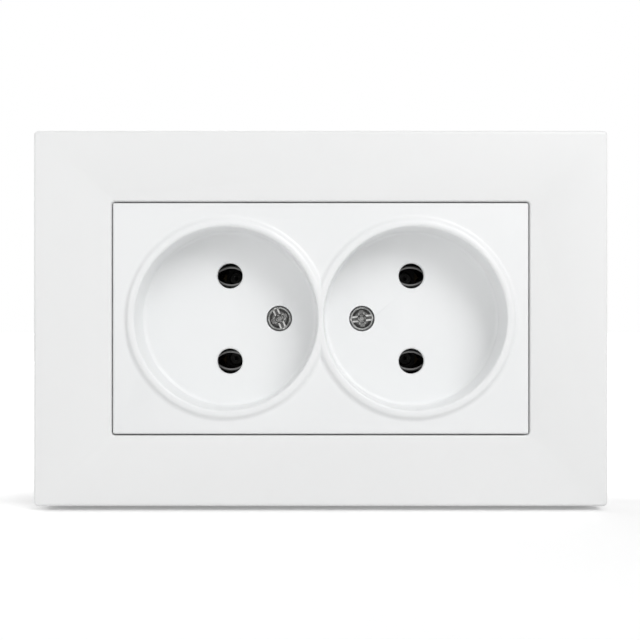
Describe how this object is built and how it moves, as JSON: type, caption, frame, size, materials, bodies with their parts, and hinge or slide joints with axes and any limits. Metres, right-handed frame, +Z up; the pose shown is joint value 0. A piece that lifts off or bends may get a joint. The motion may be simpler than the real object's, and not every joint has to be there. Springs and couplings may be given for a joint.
{
  "type": "twin two-pin wall socket",
  "caption": "Flush wall socket with side-by-side round recesses for unearthed pin plugs, a rectangular frame, and a claw and screw fixing for a round wall box.",
  "frame": {"origin": "centre of the plate in the plane of the wall's surface", "axes": "+X to the right as seen from the room, +Y into the wall, +Z up; the front faces -Y"},
  "size_m": [0.1234, 0.0337, 0.0808],
  "materials": {
    "frame_plastic": "satin",
    "insert_plastic": "satin",
    "black_plastic": "matte",
    "zinc_steel": "satin",
    "nickel_steel": "polished",
    "brass": "satin",
    "contact_bronze": "satin"
  },
  "bodies": {
    "socket": {"frame": "frame_plastic", "socket_insert": "insert_plastic", "mounting_plate": "zinc_steel", "contact_base": "black_plastic", "contact_retainer": "black_plastic", "cover_screw_left": "nickel_steel", "cover_nut_left": "zinc_steel", "cover_screw_right": "nickel_steel", "cover_nut_right": "zinc_steel", "live_bar": "brass", "live_terminal": "brass", "live_clip_left": "contact_bronze", "live_rivet_left": "nickel_steel", "live_clip_right": "contact_bronze", "live_rivet_right": "nickel_steel", "neutral_bar": "brass", "neutral_terminal": "brass", "neutral_clip_left": "contact_bronze", "neutral_rivet_left": "nickel_steel", "neutral_clip_right": "contact_bronze", "neutral_rivet_right": "nickel_steel"},
    "live_pad_left": {"live_pad_left": "zinc_steel"},
    "live_screw_left": {"live_screw_left": "nickel_steel"},
    "live_pad_right": {"live_pad_right": "zinc_steel"},
    "live_screw_right": {"live_screw_right": "nickel_steel"},
    "neutral_pad_left": {"neutral_pad_left": "zinc_steel"},
    "neutral_screw_left": {"neutral_screw_left": "nickel_steel"},
    "neutral_pad_right": {"neutral_pad_right": "zinc_steel"},
    "neutral_screw_right": {"neutral_screw_right": "nickel_steel"},
    "claw_screw_left": {"claw_screw_left": "zinc_steel"},
    "claw_nut_left": {"claw_nut_left": "zinc_steel"},
    "claw_left": {"claw_left": "zinc_steel"},
    "claw_screw_right": {"claw_screw_right": "zinc_steel"},
    "claw_nut_right": {"claw_nut_right": "zinc_steel"},
    "claw_right": {"claw_right": "zinc_steel"}
  },
  "joints": [
    {"name": "live_screw_left_turn", "type": "hinge", "parent": "live_pad_left", "child": "live_screw_left", "pos_m": [-0.0044, 0.0117, 0.0195], "axis": [0, 0, -1], "range_deg": [0, 1728]},
    {"name": "live_pad_left_slide", "type": "slide", "parent": "socket", "child": "live_pad_left", "axis": [0, 0, -1], "range_m": [0, 0.0024]},
    {"name": "live_screw_right_turn", "type": "hinge", "parent": "live_pad_right", "child": "live_screw_right", "pos_m": [0.0044, 0.0117, 0.0195], "axis": [0, 0, -1], "range_deg": [0, 1728]},
    {"name": "live_pad_right_slide", "type": "slide", "parent": "socket", "child": "live_pad_right", "axis": [0, 0, -1], "range_m": [0, 0.0024]},
    {"name": "neutral_screw_left_turn", "type": "hinge", "parent": "neutral_pad_left", "child": "neutral_screw_left", "pos_m": [-0.0044, 0.0117, -0.0195], "axis": [0, 0, 1], "range_deg": [0, 1728]},
    {"name": "neutral_pad_left_slide", "type": "slide", "parent": "socket", "child": "neutral_pad_left", "axis": [0, 0, 1], "range_m": [0, 0.0024]},
    {"name": "neutral_screw_right_turn", "type": "hinge", "parent": "neutral_pad_right", "child": "neutral_screw_right", "pos_m": [0.0044, 0.0117, -0.0195], "axis": [0, 0, 1], "range_deg": [0, 1728]},
    {"name": "neutral_pad_right_slide", "type": "slide", "parent": "socket", "child": "neutral_pad_right", "axis": [0, 0, 1], "range_m": [0, 0.0024]},
    {"name": "claw_screw_left_turn", "type": "hinge", "parent": "socket", "child": "claw_screw_left", "pos_m": [-0.021, 0, 0], "axis": [0, 1, 0], "range_deg": [0, 3600]},
    {"name": "claw_nut_left_slide", "type": "slide", "parent": "socket", "child": "claw_nut_left", "axis": [0, -1, 0], "range_m": [0, 0.006]},
    {"name": "claw_left_tilt", "type": "hinge", "parent": "claw_nut_left", "child": "claw_left", "pos_m": [-0.021, 0.016, 0], "axis": [0, 0, -1], "range_deg": [0, 30]},
    {"name": "claw_screw_right_turn", "type": "hinge", "parent": "socket", "child": "claw_screw_right", "pos_m": [0.021, 0, 0], "axis": [0, 1, 0], "range_deg": [0, 3600]},
    {"name": "claw_nut_right_slide", "type": "slide", "parent": "socket", "child": "claw_nut_right", "axis": [0, -1, 0], "range_m": [0, 0.006]},
    {"name": "claw_right_tilt", "type": "hinge", "parent": "claw_nut_right", "child": "claw_right", "pos_m": [0.021, 0.016, 0], "axis": [0, 0, 1], "range_deg": [0, 30]}
  ],
  "couplings": [
    {"joint": "live_screw_left_turn", "follows": "live_pad_left_slide", "rad_per_m": 12566},
    {"joint": "live_screw_right_turn", "follows": "live_pad_right_slide", "rad_per_m": 12566},
    {"joint": "neutral_screw_left_turn", "follows": "neutral_pad_left_slide", "rad_per_m": 12566},
    {"joint": "neutral_screw_right_turn", "follows": "neutral_pad_right_slide", "rad_per_m": 12566},
    {"joint": "claw_screw_left_turn", "follows": "claw_nut_left_slide", "rad_per_m": 10472},
    {"joint": "claw_left_tilt", "follows": "claw_nut_left_slide", "rad_per_m": 87.266},
    {"joint": "claw_screw_right_turn", "follows": "claw_nut_right_slide", "rad_per_m": 10472},
    {"joint": "claw_right_tilt", "follows": "claw_nut_right_slide", "rad_per_m": 87.266}
  ]
}
